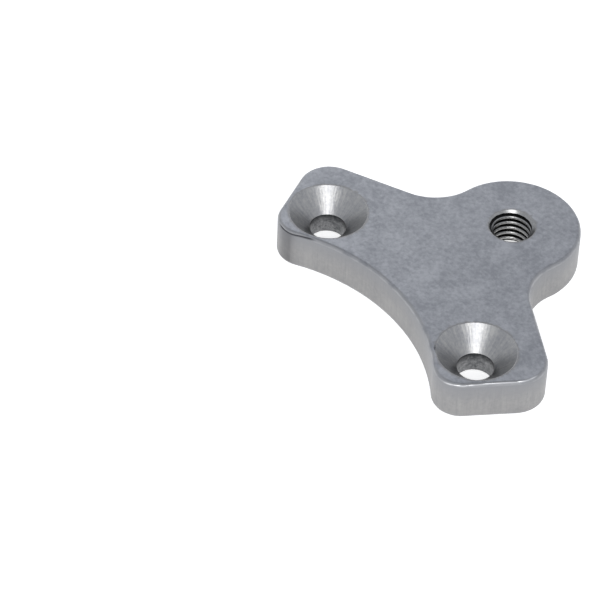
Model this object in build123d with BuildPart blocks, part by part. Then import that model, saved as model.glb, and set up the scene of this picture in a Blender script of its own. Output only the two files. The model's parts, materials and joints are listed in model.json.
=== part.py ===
from build123d import *
import os
from math import cos, radians, sin, sqrt, tan

os.makedirs("parts", exist_ok=True)

# A flat mounting block, milled in one piece from aluminium plate. A round boss
# holds a tapped hole, and two arms, each with a countersunk screw hole, spread
# from it around a concave saddle. It lies on its plain face, countersinks up.
# Millimetres. The outline is drawn about the tapped hole, with the arms to -Y.

# Plate
plate_thickness = 8.0
edge_radius = 0.7

# Boss and its M8 x 1.25 tapped hole
boss_radius = 12.4
tap_drill_diameter = 6.8
tap_top_mouth_diameter = 8.5
tap_back_mouth_diameter = 9.5

# Screw holes, for M6 countersunk screws
screw_spacing = 43.2
screw_drop = 25.0
screw_hole_diameter = 6.6
countersink_diameter = 14.2
countersink_angle = 90.0
countersink_edge_radius = 0.15
screw_back_mouth_diameter = 7.0

# Arms: the flat land from the countersink to where each edge starts to round,
# and how the two straight faces lean
shoulder_land = 4.15
shoulder_slope = 26.7
tip_land = 0.35
tip_lean = 30.0

# Saddle between the arms
saddle_land = 0.15
saddle_radius = 36.3

# Corners, seen from above
boss_blend_radius = 9.5
tip_corner_radius = 5.75
saddle_corner_radius = 5.0


def face_distance(land):
    """From a screw hole's axis to an outside face, past its countersink."""
    return countersink_diameter / 2 + land + edge_radius


def arm_corner():
    """Where a shoulder line meets a tip line, before rounding."""
    shoulder_out = Vector(sin(radians(shoulder_slope)), cos(radians(shoulder_slope)))
    tip_out = Vector(cos(radians(tip_lean)), -sin(radians(tip_lean)))
    shoulder_distance = face_distance(shoulder_land)
    tip_distance = face_distance(tip_land)
    lean = shoulder_out.dot(tip_out)
    along_shoulder = (shoulder_distance - tip_distance * lean) / (1 - lean**2)
    along_tip = (tip_distance - shoulder_distance * lean) / (1 - lean**2)
    screw_hole = Vector(screw_spacing / 2, -screw_drop)
    return screw_hole + shoulder_out * along_shoulder + tip_out * along_tip


# The saddle's centre lies on the middle line, one wall past both countersinks
center_to_screw = saddle_radius + face_distance(saddle_land)
saddle_center_drop = screw_drop + sqrt(center_to_screw**2 - (screw_spacing / 2) ** 2)

# The straight lines run on inside the boss and past the saddle's edge
corner = arm_corner()
shoulder_meet = corner.Y + corner.X * tan(radians(shoulder_slope))
foot_drop = saddle_center_drop - saddle_radius / 2
foot_reach = corner.X - (foot_drop + corner.Y) * tan(radians(tip_lean))

with BuildSketch() as outline:
    with BuildLine():
        right_half = Polyline(
            (0, shoulder_meet),
            (corner.X, corner.Y),
            (foot_reach, -foot_drop),
            (0, -foot_drop),
        )
        mirror(right_half, about=Plane.YZ)
    make_face()
    with Locations(Location((0, 0, 0), (0, 0, -90))):
        Circle(boss_radius)
    with Locations((0, -saddle_center_drop)):
        Circle(saddle_radius, mode=Mode.SUBTRACT)
    fillet(outline.vertices().group_by(Axis.Y)[-1], boss_blend_radius)
    fillet(outline.vertices().group_by(Axis.Y)[0], saddle_corner_radius)
    fillet(outline.vertices().sort_by(Axis.X)[0], tip_corner_radius)
    fillet(outline.vertices().sort_by(Axis.X)[-1], tip_corner_radius)

# The origin stands under the middle of the outline, on the face it lies on
middle = outline.sketch.bounding_box().center().Y
tapped_hole = (0, -middle)
screw_holes = [(side * screw_spacing / 2, -screw_drop - middle) for side in (-1, 1)]

with BuildPart() as mounting_block:
    with BuildSketch():
        with Locations(tapped_hole):
            add(outline.sketch)
    extrude(amount=plate_thickness)
    top = mounting_block.faces().sort_by(Axis.Z)[-1]
    back = mounting_block.faces().sort_by(Axis.Z)[0]
    fillet([top.edges(), back.edges()], edge_radius)

    with Locations(Plane.XY.offset(plate_thickness)):
        with Locations(*screw_holes):
            CounterSinkHole(
                screw_hole_diameter / 2,
                countersink_diameter / 2,
                counter_sink_angle=countersink_angle,
            )
        with Locations(tapped_hole):
            Hole(tap_drill_diameter / 2)

    rims = mounting_block.edges().filter_by(GeomType.CIRCLE).filter_by(lambda rim: rim.is_closed)
    top_rims = rims.group_by(Axis.Z)[-1].sort_by(SortBy.RADIUS)
    back_rims = rims.group_by(Axis.Z)[0].sort_by(SortBy.RADIUS)
    chamfer(top_rims[0], (tap_top_mouth_diameter - tap_drill_diameter) / 2)
    chamfer(back_rims[-1], (tap_back_mouth_diameter - tap_drill_diameter) / 2)
    chamfer(back_rims[:-1], (screw_back_mouth_diameter - screw_hole_diameter) / 2)
    fillet(top_rims[1:], countersink_edge_radius)

mounting_block.part.label = "mounting_block"
export_step(mounting_block.part, "parts/mounting_block.step")
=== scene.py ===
import json
import math
import random

import bpy
import numpy as np
from mathutils import Matrix, Vector, geometry, noise


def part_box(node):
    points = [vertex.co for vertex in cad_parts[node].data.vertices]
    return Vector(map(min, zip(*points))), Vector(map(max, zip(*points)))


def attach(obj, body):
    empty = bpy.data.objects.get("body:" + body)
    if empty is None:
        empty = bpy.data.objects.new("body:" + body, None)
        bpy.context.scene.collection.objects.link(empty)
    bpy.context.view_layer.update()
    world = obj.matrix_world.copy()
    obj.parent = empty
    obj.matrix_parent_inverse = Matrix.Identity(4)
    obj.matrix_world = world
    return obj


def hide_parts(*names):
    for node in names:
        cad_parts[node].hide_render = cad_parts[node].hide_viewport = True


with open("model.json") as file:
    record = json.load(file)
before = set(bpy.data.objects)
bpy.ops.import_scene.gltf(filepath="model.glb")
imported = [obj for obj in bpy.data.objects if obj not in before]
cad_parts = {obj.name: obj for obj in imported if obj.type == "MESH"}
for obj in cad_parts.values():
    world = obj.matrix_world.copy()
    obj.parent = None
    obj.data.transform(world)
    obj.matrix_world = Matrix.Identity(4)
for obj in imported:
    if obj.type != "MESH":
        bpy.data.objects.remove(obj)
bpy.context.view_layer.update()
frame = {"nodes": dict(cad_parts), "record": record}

# Lengths in the dictionaries are in millimetres; the mesh is scaled to metres
# as the last thing before it is made.
millimetre = 0.001
scene = bpy.context.scene
mounts = {mount["name"]: mount for mount in frame["record"]["mounts"]}
lowCorner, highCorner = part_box("mounting_block")
thickness = (highCorner[2] - lowCorner[2]) / millimetre


def mountPlace(name):
    return np.array(mounts[name]["pos_m"][:2]) / millimetre


tapAt = mountPlace("tapped_hole")
leftScrewAt = mountPlace("screw_hole_left")
rightScrewAt = mountPlace("screw_hole_right")
tapBore = mounts["tapped_hole"]["dims"]["r_mm"]
screwBore = mounts["screw_hole_right"]["dims"]["r_mm"]
print("frame:", len(frame["nodes"]), "node,", round(thickness, 3), "mm thick")


# The milled block. Sizes are those of the solid that it stands for, apart from
# the thread, the uneven edges and the marks of wear, which are only made here.
block = {
    "bossRadius": 12.4,
    "bossBlend": 9.5,
    "shoulderSlope": 26.7,      # degrees
    "shoulderOffset": 11.95,    # from a screw hole's axis to the face beside it
    "tipLean": 30.0,            # degrees
    "tipOffset": 8.15,
    "tipCorner": 5.75,
    "saddleRadius": 36.3,
    "saddleOffset": 7.95,
    "saddleCorner": 5.0,
    "edgeRadius": 0.7,
    "topEdgeSteps": 16,
    "backEdgeSteps": 8,
    "wallSteps": 12,
    "outlineStep": 0.3,         # between points along the edge
    "faceGrid": 0.6,            # between points on the flat faces
    "faceJitter": 0.12,
    "faceSeed": 4,
    "outlineClearance": 0.4,    # how far those points keep from the edges
    "rimClearance": 0.05,
    "sharpAngle": 28.0,         # degrees
    "holeSegments": 144,
    "countersinkRadius": 7.1,
    "countersinkSlope": 45.0,   # degrees
    "countersinkEdge": 0.15,
    "rimSteps": 5,
    "coneSteps": 26,
    "boreSteps": 14,
    "screwBackBreak": 0.2,
    # painted shade at the top of each screw hole's bore: how dark, and how far down it reaches
    "boreShade": 0.8,
    "boreShadeReach": 1.5,       # how far down from the countersink it is dark
    "threadRoot": 4.0,
    "threadPitch": 1.25,
    "threadFlank": 30.0,        # degrees
    "threadCrestBreak": 0.11,
    "threadRows": 28,           # rows of points in one turn
    "tapTopMouth": 4.25,
    "tapBackMouth": 4.75,
    "edgeWaver": 0.03,          # how deep tumbling has worn the edges unevenly
    "edgeWaverScale": 0.9,
    # The right arm's end has a burnished lip, brightened with a painted highlight, and the left arm's a
    # fold in its edge, darkened with painted shade. Both wander: millimetres round the outline from the
    # boss's far side, and how far the edge has turned there, in degrees (0 is the wall).
    "lipPath": [(49.5, 70), (52.0, 62), (55.0, 54), (59.5, 52), (62.5, 44), (65.5, 36), (67.5, 18)],
    "lipHeight": 0.06,
    "lipWidth": 9.0,
    "foldPath": [(109.8, 42), (111.0, 38), (113.2, 27), (115.0, 13), (116.5, 15), (118.6, 26)],
    "foldDepth": 0.13,
    "foldWidth": 15.0,
    "markFade": 1.5,            # over which both marks begin and end
    "knockBearing": -129.5,     # degrees, round the right screw hole
    "knockAway": 7.34,
    "knockRadius": 0.27,
    "knockDepth": 0.2,
    "knockFall": 1.6,           # how steep its sides are
    "knockPatch": 0.5,          # where the face has closer points, in rings
    "knockRings": 8,
    "knockRingGap": 0.05,
}
finishes = ["tumbledFace", "turnedCone", "boredWall", "cutThread"]
holeTurns = np.linspace(0, 2 * math.pi, block["holeSegments"], endpoint=False)


def direction(degrees):
    return np.array([math.cos(math.radians(degrees)), math.sin(math.radians(degrees))])


def bearing(vector):
    return math.degrees(math.atan2(vector[1], vector[0]))


def crossLineCircle(normal, offset, center, radius, towards):
    # of the two crossings, the one further towards
    short = offset - normal @ center
    along = np.array([-normal[1], normal[0]]) * math.sqrt(radius**2 - short**2)
    foot = center + normal * short
    return max(foot + along, foot - along, key=lambda place: place @ towards)


def outlineArcs():
    # right half, clockwise from the top of the boss: centre, radius (negative
    # where hollow), and the bearings of the outward normal at its two ends
    shoulder = direction(90 - block["shoulderSlope"])
    tip = direction(-block["tipLean"])
    shoulderReach = shoulder @ rightScrewAt + block["shoulderOffset"]
    tipReach = tip @ rightScrewAt + block["tipOffset"]
    saddleReach = block["saddleRadius"] + block["saddleOffset"]
    saddleAt = np.array([0.0, rightScrewAt[1] - math.sqrt(saddleReach**2 - rightScrewAt[0] ** 2)])
    blend, corner, inner = block["bossBlend"], block["tipCorner"], block["saddleCorner"]
    blendAt = crossLineCircle(shoulder, shoulderReach + blend, tapAt,
                              block["bossRadius"] + blend, np.array([1.0, 0.0]))
    cornerAt = np.linalg.solve([shoulder, tip], [shoulderReach - corner, tipReach - corner])
    innerAt = crossLineCircle(tip, tipReach - inner, saddleAt,
                              block["saddleRadius"] + inner, np.array([0.0, 1.0]))
    toBlend, toSaddle = bearing(blendAt - tapAt), bearing(saddleAt - innerAt)
    return [
        (tapAt, block["bossRadius"], 90.0, toBlend),
        (blendAt, -blend, toBlend, bearing(shoulder)),
        (cornerAt, corner, bearing(shoulder), bearing(tip)),
        (innerAt, inner, bearing(tip), toSaddle),
        (saddleAt, -block["saddleRadius"], toSaddle, -90.0),
    ]


def outlinePoints():
    # evenly spaced places and outward normals, all the way round
    places, normals = [], []
    last = None  # the place that the arc before ended at
    for center, radius, start, end in outlineArcs():
        first = center + radius * direction(start)
        if last is not None:
            gap = np.linalg.norm(first - last)
            for share in np.linspace(0, 1, math.ceil(gap / block["outlineStep"]) + 1)[1:-1]:
                places.append(last + (first - last) * share)
                normals.append(direction(start))
        steps = math.ceil(abs(radius * math.radians(end - start)) / block["outlineStep"])
        for turn in np.linspace(start, end, steps + 1):
            place = center + radius * direction(turn)
            if last is None or np.linalg.norm(place - last) > 0.01:
                places.append(place)
                normals.append(direction(turn))
            last = place
    places, normals = np.array(places), np.array(normals)
    mirror = np.array([-1.0, 1.0])
    return (np.vstack([places, places[-2:0:-1] * mirror]),
            np.vstack([normals, normals[-2:0:-1] * mirror]))


# What each point carries for the finishes: how much it is wall and rounded edge,
# how burnished it is with a painted highlight, how dark it is with painted shade, its place on the
# cutter's path, and its share of a turn round its hole.
carried = {"wallShare": 0.0, "edgeShare": 0.0, "burnish": 0.0, "dirt": 0.0,
           "cutterPath": (0.0, 0.0, 0.0), "turn": 0.0}


def newParts():
    return {"points": [], "faces": [], "finish": [], **{name: [] for name in carried}}


def addRing(parts, places, **values):
    first, count = len(parts["points"]), len(places)
    parts["points"].extend(tuple(place) for place in places)
    for name, plain in carried.items():
        value = values.get(name, plain)
        parts[name].extend(value if isinstance(value, (list, np.ndarray)) else [value] * count)
    return list(range(first, first + count))


def joinRings(parts, upper, lower, finish):
    for here in range(len(upper)):
        after = (here + 1) % len(upper)
        parts["faces"].append((upper[here], upper[after], lower[after], lower[here]))
        parts["finish"].append(finishes.index(finish))


def smooth(share):
    share = np.clip(share, 0.0, 1.0)
    return share * share * (3 - 2 * share)


def markShare(along, tilt, path, width):
    # 1 on the middle of a mark that wanders along the top edge, 0 away from it
    stations, turns = np.array(path).T
    middle, fade = np.interp(along, stations, turns), block["markFade"]
    ends = smooth((along - stations[0]) / fade) * smooth((stations[-1] - along) / fade)
    return ends * np.exp(-(((math.degrees(tilt) - middle) / width) ** 2))


def edgeLevels():
    # height, inset and turn of the edge, from the back face up to the top face
    radius = block["edgeRadius"]
    levels = []
    for tilt in np.linspace(-math.pi / 2, 0, block["backEdgeSteps"]):
        levels.append((radius * (1 + math.sin(tilt)), radius * (1 - math.cos(tilt)), tilt))
    for z in np.linspace(radius, thickness - radius, block["wallSteps"] + 1)[1:-1]:
        levels.append((z, 0.0, 0.0))
    for tilt in np.linspace(0, math.pi / 2, block["topEdgeSteps"]):
        drop, inset = radius * (1 - math.sin(tilt)), radius * (1 - math.cos(tilt))
        levels.append((thickness - drop, inset, tilt))
    return levels


def addOutside(parts):
    # the rounded back edge, the wall and the rounded top edge, with their wear, the lip's painted
    # highlight and the fold's painted shade
    places, normals = outlinePoints()
    gaps = np.linalg.norm(np.roll(places, -1, 0) - places, axis=1)
    along = np.concatenate([[0.0], np.cumsum(gaps)[:-1]])
    rings = []
    for z, inset, tilt in edgeLevels():
        edge = math.sin(2 * abs(tilt))
        ring = np.hstack([places - normals * inset, np.full((len(places), 1), z)])
        outward = np.hstack([normals * math.cos(tilt), np.full((len(places), 1), math.sin(tilt))])
        waver = [0.5 + 0.5 * noise.noise(Vector(spot) * block["edgeWaverScale"]) for spot in ring]
        lip = markShare(along, tilt, block["lipPath"], block["lipWidth"])
        fold = markShare(along, tilt, block["foldPath"], block["foldWidth"])
        depth = block["edgeWaver"] * edge * np.array(waver) + block["foldDepth"] * fold
        ring -= outward * (depth - block["lipHeight"] * lip)[:, None]
        path = [(reach, z, 0.0) for reach in along]
        # the lip carries a painted highlight and the fold painted shade
        rings.append(addRing(parts, ring, wallShare=math.cos(tilt) ** 2, edgeShare=edge,
                             burnish=lip, dirt=fold, cutterPath=path))
    for lower, upper in zip(rings, rings[1:]):
        joinRings(parts, lower, upper, "tumbledFace")
    return rings[0], rings[-1]


def addHole(parts, center, levels):
    # levels from the top face down: the radius all round, the height, the finish
    # of the strip that ends there, and how dark it is painted with shade all round
    rings, travel, last = [], 0.0, None
    for radii, z, finish, dirt in levels:
        if last is not None:
            travel += math.hypot(radii[0] - last[0], z - last[1])
        last = (radii[0], z)
        ring = [(center[0] + reach * math.cos(turn), center[1] + reach * math.sin(turn), z)
                for reach, turn in zip(radii, holeTurns)]
        path = [(math.cos(turn), math.sin(turn), travel) for turn in holeTurns]
        rings.append(addRing(parts, ring, wallShare=1.0, dirt=dirt, cutterPath=path,
                             turn=holeTurns / (2 * math.pi)))
    for upper, lower, level in zip(rings, rings[1:], levels[1:]):
        joinRings(parts, upper, lower, level[2])
    return rings[0], rings[-1]


def screwLevels():
    rim, soft, back = block["countersinkRadius"], block["countersinkEdge"], block["screwBackBreak"]
    slope = math.radians(block["countersinkSlope"])
    edge = rim + soft * math.tan(slope / 2)
    profile = []
    for bend in np.linspace(0, slope, block["rimSteps"]):
        drop = soft * (1 - math.cos(bend))
        profile.append((edge - soft * math.sin(bend), thickness - drop, "turnedCone"))
    for radius in np.linspace(profile[-1][0], screwBore, block["coneSteps"])[1:]:
        profile.append((radius, thickness - (rim - radius) * math.tan(slope), "turnedCone"))
    boreTop = profile[-1][1]
    for z in np.linspace(boreTop, back, block["boreSteps"])[1:]:
        profile.append((screwBore, z, "boredWall"))
    profile.append((screwBore + back, 0.0, "boredWall"))
    levels = []
    for radius, z, finish in profile:
        dirt = 0.0
        # painted shade, darkest just under the countersink and fading down the bore
        if z <= boreTop:
            dirt = block["boreShade"] * (1 - smooth((boreTop - z) / block["boreShadeReach"]))
        levels.append((np.full(len(holeTurns), radius), z, finish, np.full(len(holeTurns), dirt)))
    return levels


def threadLevels():
    # a thread with broken crests, that runs out into a chamfered mouth at each face
    pitch, depth = block["threadPitch"], block["threadRoot"] - tapBore
    crest, rootFlat = block["threadCrestBreak"], pitch / 16  # half of the flat at the root
    flankEnd = rootFlat + (depth - crest) * math.tan(math.radians(block["threadFlank"]))
    reaches, depths = [rootFlat, flankEnd, flankEnd + crest], [depth, crest, 0.0]
    levels = []
    for z in np.linspace(thickness, 0, round(thickness / pitch * block["threadRows"]) + 1):
        phase = (z / pitch - holeTurns / (2 * math.pi)) % 1.0
        cut = np.interp(abs(phase - 0.5) * pitch, reaches, depths)
        mouth = max(block["tapTopMouth"] - (thickness - z), block["tapBackMouth"] - z)
        # painted shade, deepest at the roots of the grooves
        dirt = np.where(tapBore + cut > mouth, cut / depth, 0.0)
        levels.append((np.maximum(tapBore + cut, mouth), z, "cutThread", dirt))
    return levels


def knockPlace():
    return rightScrewAt + block["knockAway"] * direction(block["knockBearing"])


def insideOutline(spots, outline):
    # even and odd crossings, for many spots at once
    x, y = spots[:, 0:1], spots[:, 1:2]
    x0, y0 = outline[:, 0], outline[:, 1]
    x1, y1 = np.roll(x0, -1), np.roll(y0, -1)
    spans = (y0 > y) != (y1 > y)
    rise = np.where(y1 == y0, 1.0, y1 - y0)
    return (spans & (x < (x1 - x0) * (y - y0) / rise + x0)).sum(1) % 2 == 1


def faceSpots(outline, circles):
    # a jittered triangular grid that keeps clear of the edges, closer at the knock
    grid, jitter, dice = block["faceGrid"], block["faceJitter"], random.Random(block["faceSeed"])
    rowGap = grid * 0.866  # the height of an even triangle
    low, high = outline.min(0), outline.max(0)
    spots = []
    for row in range(math.ceil((high[1] - low[1]) / rowGap)):
        for column in range(math.ceil((high[0] - low[0]) / grid)):
            spots.append((low[0] + (column + row % 2 / 2) * grid + dice.uniform(-jitter, jitter),
                          low[1] + row * rowGap + dice.uniform(-jitter, jitter)))
    knock = knockPlace()
    spots = [spot for spot in spots if np.linalg.norm(spot - knock) > block["knockPatch"]]
    for ring in range(block["knockRings"]):
        count = 1 + 5 * ring
        for place in range(count):
            turn = 360 * place / count + 17 * ring  # each ring is turned a little further
            spots.append(tuple(knock + block["knockRingGap"] * ring * direction(turn)))
    spots = np.array(spots)
    spots = spots[insideOutline(spots, outline)]
    clear = np.array([np.abs(outline - spot).sum(1).min() > block["outlineClearance"] for spot in spots])
    for center, radius in circles:
        clear &= np.linalg.norm(spots - center, axis=1) > radius + block["rimClearance"]
    return spots[clear]


def addFace(parts, outer, rims, up):
    # fills a flat face between the outer ring and the rims of its holes
    z = parts["points"][outer[0]][2]
    loops = [outer] + rims
    border = [index for loop in loops for index in loop]
    outline = np.array([parts["points"][index][:2] for index in outer])
    circles = []
    for rim in rims:
        ring = np.array([parts["points"][index][:2] for index in rim])
        circles.append((ring.mean(0), np.linalg.norm(ring[0] - ring.mean(0))))
    spots = faceSpots(outline, circles)
    indices = border + addRing(parts, [(x, y, z) for x, y in spots])

    edges, start = [], 0
    for loop in loops:
        edges += [(start + here, start + (here + 1) % len(loop)) for here in range(len(loop))]
        start += len(loop)
    places = [Vector(parts["points"][index][:2]) for index in indices]
    made = geometry.delaunay_2d_cdt(places, edges, [], 0, 1e-7)
    triangles, origins = made[2], made[3]
    corners = np.array([[origins[corner][0] for corner in triangle] for triangle in triangles])
    middles = np.array([place[:] for place in places])[corners].mean(1)
    keep = insideOutline(middles, outline)
    for center, radius in circles:
        keep &= np.linalg.norm(middles - center, axis=1) > radius * 0.999  # a rim's chords lie just inside
    for face in corners[keep]:
        corner = [indices[place] for place in face]
        parts["faces"].append(tuple(corner if up else corner[::-1]))
        parts["finish"].append(finishes.index("tumbledFace"))


def knockTop(parts):
    # the top face has taken one sharp knock, with painted shade in its hollow
    points, dirt = np.array(parts["points"]), np.array(parts["dirt"])
    away = np.linalg.norm(points[:, :2] - knockPlace(), axis=1) / block["knockRadius"]
    hit = (points[:, 2] > thickness - 1e-4) & (away < 2)
    share = np.exp(-block["knockFall"] * away[hit] ** 2)
    points[hit, 2] -= block["knockDepth"] * share
    # painted shade in the knock's hollow
    dirt[hit] = np.maximum(dirt[hit], share)
    return points, dirt


def makeBlock():
    parts = newParts()
    backOuter, topOuter = addOutside(parts)
    holes = [addHole(parts, leftScrewAt, screwLevels()), addHole(parts, rightScrewAt, screwLevels()),
             addHole(parts, tapAt, threadLevels())]
    addFace(parts, topOuter, [top for top, back in holes], True)
    addFace(parts, backOuter, [back for top, back in holes], False)
    points, parts["dirt"] = knockTop(parts)

    mesh = bpy.data.meshes.new("milledBlock")
    mesh.from_pydata((points * millimetre).tolist(), [], parts["faces"])
    for name in ("wallShare", "edgeShare", "burnish", "dirt"):
        mesh.attributes.new(name, "FLOAT", "POINT").data.foreach_set("value", parts[name])
    path = mesh.attributes.new("cutterPath", "FLOAT_VECTOR", "POINT")
    path.data.foreach_set("vector", np.array(parts["cutterPath"]).ravel())
    mesh.polygons.foreach_set("material_index", parts["finish"])
    mesh.shade_smooth()
    mesh.set_sharp_from_angle(angle=math.radians(block["sharpAngle"]))

    # one turn of a hole is one width of the map, which the turned finish follows
    turns, lift = parts["turn"], np.array(parts["cutterPath"])[:, 2] / 10
    turnMap = mesh.uv_layers.new(name="turnMap")
    for face in mesh.polygons:
        shares = [turns[vertex] for vertex in face.vertices]
        wraps = max(shares) - min(shares) > 0.5
        for loop, vertex, share in zip(face.loop_indices, face.vertices, shares):
            turnMap.data[loop].uv = (share + 1 if wraps and share < 0.5 else share, lift[vertex])
    piece = bpy.data.objects.new("milledBlock", mesh)
    scene.collection.objects.link(piece)
    print("block:", len(mesh.vertices), "points,", len(mesh.polygons), "faces")
    return piece


# Shader groups that the finishes share, and the nodes that they are made of.
def newGroup(name, inputs, outputs):
    group = bpy.data.node_groups.new(name, "ShaderNodeTree")
    for label, value in inputs:
        socket = group.interface.new_socket(name=label, in_out="INPUT", socket_type="NodeSocketFloat")
        socket.default_value = value
    for label in outputs:
        group.interface.new_socket(name=label, in_out="OUTPUT", socket_type="NodeSocketFloat")
    return group, group.nodes.new("NodeGroupInput"), group.nodes.new("NodeGroupOutput")


def addNode(tree, kind, settings=None, **values):
    # i0, i1 and so on are inputs by number, for those that share a name
    node = tree.nodes.new("ShaderNode" + kind)
    for name, value in (settings or {}).items():
        setattr(node, name, value)
    for name, value in values.items():
        socket = node.inputs[int(name[1:])] if name[0] == "i" and name[1:].isdigit() else node.inputs[name]
        if hasattr(value, "is_linked"):
            tree.links.new(value, socket)
        else:
            socket.default_value = value
    return node


def addMath(tree, operation, first, second=0.5):
    return addNode(tree, "Math", {"operation": operation}, i0=first, i1=second).outputs[0]


def addNoise(tree, vector, scale, detail=2.0, roughness=0.5):
    node = addNode(tree, "TexNoise", None, Vector=vector, Scale=scale, Detail=detail, Roughness=roughness)
    return node.outputs["Fac"]


def mixColor(tree, share, first, second):
    node = addNode(tree, "Mix", {"data_type": "RGBA"}, i0=share, i6=first, i7=second)
    return node.outputs[2]


def toneBetween(tree, value, low, high, lowOut=0.0, highOut=1.0, kind="LINEAR"):
    node = addNode(tree, "MapRange", {"interpolation_type": kind}, Value=value)
    for name, number in (("From Min", low), ("From Max", high), ("To Min", lowOut), ("To Max", highOut)):
        node.inputs[name].default_value = number
    return node.outputs[0]


def perMetre(tree, size):
    # a noise's scale, from the size in millimetres that its spots should have
    return addMath(tree, "DIVIDE", 1 / millimetre, size)


def makeGrainGroup():
    # fine speckle of tumbled or cut metal, over a slower cloudiness
    group, given, result = newGroup(
        "metalGrain", [("Grain Size", 0.4), ("Cloud Size", 4.0), ("Cloud Share", 0.5)], ["Tone", "Height"])
    place = addNode(group, "TexCoord").outputs["Object"]
    speckle = addNoise(group, place, perMetre(group, given.outputs["Grain Size"]), 3.0, 0.6)
    cloud = addNoise(group, place, perMetre(group, given.outputs["Cloud Size"]), 3.0, 0.5)
    cloudPart = addMath(group, "MULTIPLY", addMath(group, "SUBTRACT", cloud), given.outputs["Cloud Share"])
    tone = addMath(group, "ADD", speckle, cloudPart)
    group.links.new(tone, result.inputs["Tone"])
    group.links.new(speckle, result.inputs["Height"])
    return group


def makeLinesGroup():
    # marks that a cutter leaves: noise drawn out along one way of its path
    group, given, result = newGroup(
        "cutterLines", [("Across", 3.0), ("Around", 10.0), ("Depth", 0.1)], ["Tone"])
    path = addNode(group, "Attribute", {"attribute_name": "cutterPath"}).outputs["Vector"]
    split = addNode(group, "SeparateXYZ", None, Vector=path)
    parts = [addMath(group, "MULTIPLY", split.outputs[0], given.outputs["Across"]),
             addMath(group, "MULTIPLY", split.outputs[1], given.outputs["Around"]),
             addMath(group, "MULTIPLY", split.outputs[2], given.outputs["Depth"])]
    joined = addNode(group, "CombineXYZ", None, X=parts[0], Y=parts[1], Z=parts[2])
    group.links.new(addNoise(group, joined.outputs[0], 1.0, 3.0, 0.6), result.inputs["Tone"])
    return group


def makeWearGroup():
    # where rubbing has brightened the edges, broken up by noise
    group, given, result = newGroup("edgeRub", [("Patch Size", 2.0), ("Amount", 1.0)], ["Rub"])
    edge = addNode(group, "Attribute", {"attribute_name": "edgeShare"}).outputs["Fac"]
    place = addNode(group, "TexCoord").outputs["Object"]
    patch = addNoise(group, place, perMetre(group, given.outputs["Patch Size"]))
    spread = toneBetween(group, patch, 0.25, 0.65, kind="SMOOTHSTEP")
    rub = addMath(group, "MULTIPLY", addMath(group, "MULTIPLY", edge, spread), given.outputs["Amount"])
    group.links.new(rub, result.inputs["Rub"])
    return group


grainGroup, linesGroup, wearGroup = makeGrainGroup(), makeLinesGroup(), makeWearGroup()


def useGroup(tree, group, values):
    node = tree.nodes.new("ShaderNodeGroup")
    node.node_tree = group
    for name, value in values.items():
        node.inputs[name].default_value = value
    return node


def startMaterial(name, roughness, anisotropic=0.0):
    material = bpy.data.materials.new(name)
    material.use_nodes = True
    tree = material.node_tree
    shader = tree.nodes["Principled BSDF"]
    shader.inputs["Metallic"].default_value = 1.0
    shader.inputs["Roughness"].default_value = roughness
    shader.inputs["Anisotropic"].default_value = anisotropic
    return material, tree, shader


def addBump(tree, height, strength, distance):
    node = addNode(tree, "Bump", None, Height=height, Strength=strength,
                   Distance=distance * millimetre)
    return node.outputs["Normal"]


def readShare(tree, name):
    return addNode(tree, "Attribute", {"attribute_name": name}).outputs["Fac"]


tumbled = {
    "faceColor": (0.482, 0.492, 0.520, 1),
    "faceDark": (0.335, 0.345, 0.371, 1),
    "wallColor": (0.378, 0.370, 0.362, 1),
    "wallDark": (0.272, 0.271, 0.274, 1),
    # painted shade: the wall darker towards its top, fading out further down
    "wallTopShade": (0.280, 0.284, 0.296, 1),
    "wallTopShadeReach": 4.5,        # how far down the wall that colour fades out
    "rubColor": (0.43, 0.43, 0.435, 1),
    # painted highlight along the burnished lip
    "lipHighlightColor": (0.90, 0.90, 0.90, 1),
    # painted shade in the fold and the knock
    "dirtColor": (0.05, 0.05, 0.055, 1),
    "roughness": 0.5,
    "rubRoughness": 0.42,
    "lipRoughness": 0.33,
    "grain": {"Grain Size": 0.7, "Cloud Size": 5.0, "Cloud Share": 0.7},
    "grainRange": (0.3, 0.7),
    "grainStrength": 0.5,
    "grainDepth": 0.03,
    "wallGrain": 0.4,
    "lines": {"Across": 2.2, "Around": 0.12, "Depth": 0.0},
    "lineRange": (0.2, 0.8),
    "wallLines": 0.6,
    "rub": {"Patch Size": 2.5, "Amount": 1.0},
}


def wallColor(tree, grainTone):
    # cutter lines down the wall, and painted shade that darkens it towards its top
    lines = useGroup(tree, linesGroup, tumbled["lines"])
    lineTone = toneBetween(tree, lines.outputs["Tone"], *tumbled["lineRange"], 0.0, tumbled["wallLines"])
    tone = addMath(tree, "ADD", lineTone, addMath(tree, "MULTIPLY", grainTone, tumbled["wallGrain"]))
    wall = mixColor(tree, tone, tumbled["wallDark"], tumbled["wallColor"])
    path = addNode(tree, "Attribute", {"attribute_name": "cutterPath"}).outputs["Vector"]
    height = addNode(tree, "SeparateXYZ", None, Vector=path).outputs[1]
    # painted shade, strongest at the top of the wall
    belowTop = toneBetween(tree, height, thickness, thickness - tumbled["wallTopShadeReach"])
    return mixColor(tree, belowTop, tumbled["wallTopShade"], wall)


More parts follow.
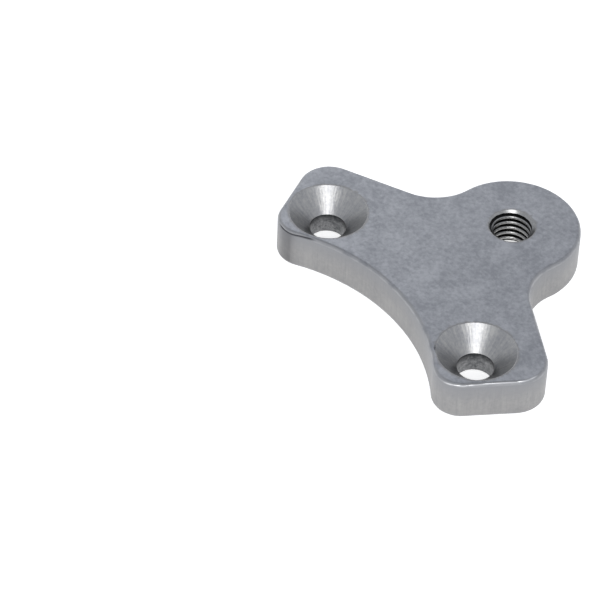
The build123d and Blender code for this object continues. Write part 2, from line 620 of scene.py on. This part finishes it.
def makeTumbled():
    material, tree, shader = startMaterial("tumbledAluminium", tumbled["roughness"])
    grain = useGroup(tree, grainGroup, tumbled["grain"])
    rub = useGroup(tree, wearGroup, tumbled["rub"]).outputs["Rub"]
    burnish = readShare(tree, "burnish")
    grainTone = toneBetween(tree, grain.outputs["Tone"], *tumbled["grainRange"])
    face = mixColor(tree, grainTone, tumbled["faceDark"], tumbled["faceColor"])
    color = mixColor(tree, readShare(tree, "wallShare"), face, wallColor(tree, grainTone))
    color = mixColor(tree, rub, color, tumbled["rubColor"])
    # painted highlight on the burnished lip
    color = mixColor(tree, burnish, color, tumbled["lipHighlightColor"])
    # painted shade in the fold and the knock
    color = mixColor(tree, readShare(tree, "dirt"), color, tumbled["dirtColor"])
    tree.links.new(color, shader.inputs["Base Color"])
    rough = toneBetween(tree, rub, 0.0, 1.0, tumbled["roughness"], tumbled["rubRoughness"])
    polish = toneBetween(tree, burnish, 0.0, 1.0, 1.0, tumbled["lipRoughness"] / tumbled["roughness"])
    tree.links.new(addMath(tree, "MULTIPLY", rough, polish), shader.inputs["Roughness"])
    bump = addBump(tree, grain.outputs["Height"], tumbled["grainStrength"], tumbled["grainDepth"])
    tree.links.new(bump, shader.inputs["Normal"])
    return material


turned = {
    "color": (0.51, 0.505, 0.49, 1),
    "dark": (0.35, 0.352, 0.365, 1),
    "roughness": 0.35,
    "anisotropic": 0.25,
    "lines": {"Across": 16.0, "Around": 16.0, "Depth": 0.25},
    "grain": {"Grain Size": 0.5, "Cloud Size": 2.5, "Cloud Share": 0.8},
    "markRange": (0.7, 1.3),
    "markStrength": 0.9,
    "markDepth": 0.03,
}


def addTurnedMarks(tree, shader, looks):
    # streaks and tool marks that go round a hole; gives the metal's colour
    tangent = addNode(tree, "Tangent", {"direction_type": "UV_MAP", "uv_map": "turnMap"})
    tree.links.new(tangent.outputs[0], shader.inputs["Tangent"])
    lines = useGroup(tree, linesGroup, looks["lines"])
    grain = useGroup(tree, grainGroup, looks["grain"])
    marks = addMath(tree, "ADD", lines.outputs["Tone"], grain.outputs["Tone"])
    bump = addBump(tree, marks, looks["markStrength"], looks["markDepth"])
    tree.links.new(bump, shader.inputs["Normal"])
    return mixColor(tree, toneBetween(tree, marks, *looks["markRange"]), looks["dark"], looks["color"])


def makeTurned():
    material, tree, shader = startMaterial("turnedCone", turned["roughness"], turned["anisotropic"])
    tree.links.new(addTurnedMarks(tree, shader, turned), shader.inputs["Base Color"])
    return material


bored = {
    "color": (0.32, 0.32, 0.325, 1),
    "dark": (0.10, 0.105, 0.11, 1),
    # painted shade at the top of the bore
    "dirtColor": (0.02, 0.022, 0.024, 1),
    "roughness": 0.42,
    "anisotropic": 0.3,
    "lines": {"Across": 3.0, "Around": 3.0, "Depth": 1.2},
    "grain": {"Grain Size": 0.4, "Cloud Size": 2.0, "Cloud Share": 0.8},
    "markRange": (0.7, 1.35),
    "markStrength": 0.4,
    "markDepth": 0.03,
}


def makeBored():
    material, tree, shader = startMaterial("boredWall", bored["roughness"], bored["anisotropic"])
    metal = addTurnedMarks(tree, shader, bored)
    # painted shade at the top of the bore
    color = mixColor(tree, readShare(tree, "dirt"), metal, bored["dirtColor"])
    tree.links.new(color, shader.inputs["Base Color"])
    return material


thread = {
    "color": (0.46, 0.46, 0.45, 1),
    "dark": (0.34, 0.34, 0.34, 1),
    # painted shade down in the thread's grooves
    "grooveShadeColor": (0.012, 0.012, 0.012, 1),
    "grooveShadeRange": (0.16, 0.34),    # the shares of its depth where that colour sets in
    "roughness": 0.30,
    "grain": {"Grain Size": 0.3, "Cloud Size": 2.0, "Cloud Share": 0.6},
    "grainRange": (0.3, 0.7),
}


def makeThread():
    material, tree, shader = startMaterial("cutThread", thread["roughness"])
    grain = useGroup(tree, grainGroup, thread["grain"])
    tone = toneBetween(tree, grain.outputs["Tone"], *thread["grainRange"])
    metal = mixColor(tree, tone, thread["dark"], thread["color"])
    # painted shade darkens the grooves
    groove = toneBetween(tree, readShare(tree, "dirt"), *thread["grooveShadeRange"])
    tree.links.new(mixColor(tree, groove, metal, thread["grooveShadeColor"]), shader.inputs["Base Color"])
    return material


piece = makeBlock()
for material in (makeTumbled(), makeTurned(), makeBored(), makeThread()):
    piece.data.materials.append(material)
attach(piece, "root")
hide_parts("mounting_block")
print("finishes:", ", ".join(material.name for material in piece.data.materials))


studio = {
    "floorColor": (0.93, 0.93, 0.93, 1),
    "floorSize": 3000.0,
    "floorGlow": 0.65,     # lifts the floor to white for whoever looks at it
    "floorRoughness": 0.9,
    "floorGap": 0.02,
    "skyColor": (0.63, 0.65, 0.69, 1),
    "overheadColor": (0.24, 0.25, 0.27, 1),
    "overheadRange": (0.68, 0.97),    # how far up the one turns into the other
    # softboxes: azimuth, elevation, distance, size and power
    "lamps": {
        "keySoftbox": (52.0, 46.0, 800.0, 130.0, 0.12),
        "frontSoftbox": (56.0, 45.0, 800.0, 480.0, 1.6),
        "sidePanel": (246.0, 40.0, 200.0, 140.0, 0.024),
    },
}


def makeFloor():
    half = studio["floorSize"] / 2 * millimetre
    mesh = bpy.data.meshes.new("floor")
    low = lowCorner[2] - studio["floorGap"] * millimetre
    corners = [(-half, -half, low), (half, -half, low), (half, half, low), (-half, half, low)]
    mesh.from_pydata(corners, [], [(0, 1, 2, 3)])
    floor = bpy.data.objects.new("floor", mesh)
    scene.collection.objects.link(floor)
    material = bpy.data.materials.new("paleFloor")
    material.use_nodes = True
    tree = material.node_tree
    shader = tree.nodes["Principled BSDF"]
    shader.inputs["Base Color"].default_value = studio["floorColor"]
    shader.inputs["Roughness"].default_value = studio["floorRoughness"]
    shader.inputs["Specular IOR Level"].default_value = 0.0
    shader.inputs["Emission Color"].default_value = (1, 1, 1, 1)
    path = addNode(tree, "LightPath")
    seen = addMath(tree, "MAXIMUM", path.outputs["Is Camera Ray"], path.outputs["Is Glossy Ray"])
    seen = addMath(tree, "MAXIMUM", seen, path.outputs["Is Transmission Ray"])
    glow = addMath(tree, "MULTIPLY", seen, studio["floorGlow"])
    tree.links.new(glow, shader.inputs["Emission Strength"])
    mesh.materials.append(material)


def viewDirection(azimuth, elevation):
    # from the block towards someone at that azimuth and elevation
    flat = math.cos(math.radians(elevation))
    turn = math.radians(azimuth)
    return Vector((math.sin(turn) * flat, -math.cos(turn) * flat, math.sin(math.radians(elevation))))


def addSoftbox(name, azimuth, elevation, away, size, power):
    light = bpy.data.lights.new(name, "AREA")
    light.shape, light.size, light.energy = "DISK", size * millimetre, power
    lamp = bpy.data.objects.new(name, light)
    towards = viewDirection(azimuth, elevation)
    lamp.location = towards * away * millimetre
    lamp.rotation_euler = towards.to_track_quat("Z", "Y").to_euler()
    scene.collection.objects.link(lamp)


def makeLights():
    world = bpy.data.worlds.new("softRoom")
    world.use_nodes = True
    # even round the sides and dimmer overhead
    tree = world.node_tree
    outward = addNode(tree, "TexCoord").outputs["Generated"]
    height = addNode(tree, "SeparateXYZ", None, Vector=outward).outputs["Z"]
    rise = toneBetween(tree, height, *studio["overheadRange"], kind="SMOOTHSTEP")
    sky = mixColor(tree, rise, studio["skyColor"], studio["overheadColor"])
    tree.links.new(sky, tree.nodes["Background"].inputs["Color"])
    scene.world = world
    for name, values in studio["lamps"].items():
        addSoftbox(name, *values)


makeFloor()
makeLights()
print("studio: floor and lights")


camera = {
    "azimuth": 52.219,     # degrees, from in front towards +X
    "elevation": 43.876,
    "roll": -2.438,
    "distance": 642.40,
    "right": 29.108,       # how far the view is moved off the middle of the block
    "up": 6.197,
    "lens": 215.656,
    "clip": (10.0, 20000.0),
}


def makeCamera():
    turn, tilt = math.radians(camera["azimuth"]), math.radians(camera["elevation"])
    right = Vector((math.cos(turn), math.sin(turn), 0.0))
    back = viewDirection(camera["azimuth"], camera["elevation"])
    up = back.cross(right)
    roll = math.radians(camera["roll"])
    rolledRight = right * math.cos(roll) - up * math.sin(roll)
    rolledUp = right * math.sin(roll) + up * math.cos(roll)
    aim = Vector((0.0, 0.0, thickness / 2))
    place = aim + back * camera["distance"] - rolledRight * camera["right"] - rolledUp * camera["up"]
    data = bpy.data.cameras.new("camera")
    data.lens = camera["lens"]
    data.clip_start, data.clip_end = [reach * millimetre for reach in camera["clip"]]
    holder = bpy.data.objects.new("camera", data)
    frameAxes = Matrix((rolledRight, rolledUp, back)).transposed().to_4x4()
    holder.matrix_world = Matrix.Translation(place * millimetre) @ frameAxes
    scene.collection.objects.link(holder)
    scene.camera = holder


makeCamera()
scene.view_settings.view_transform = "Standard"
print("camera set")
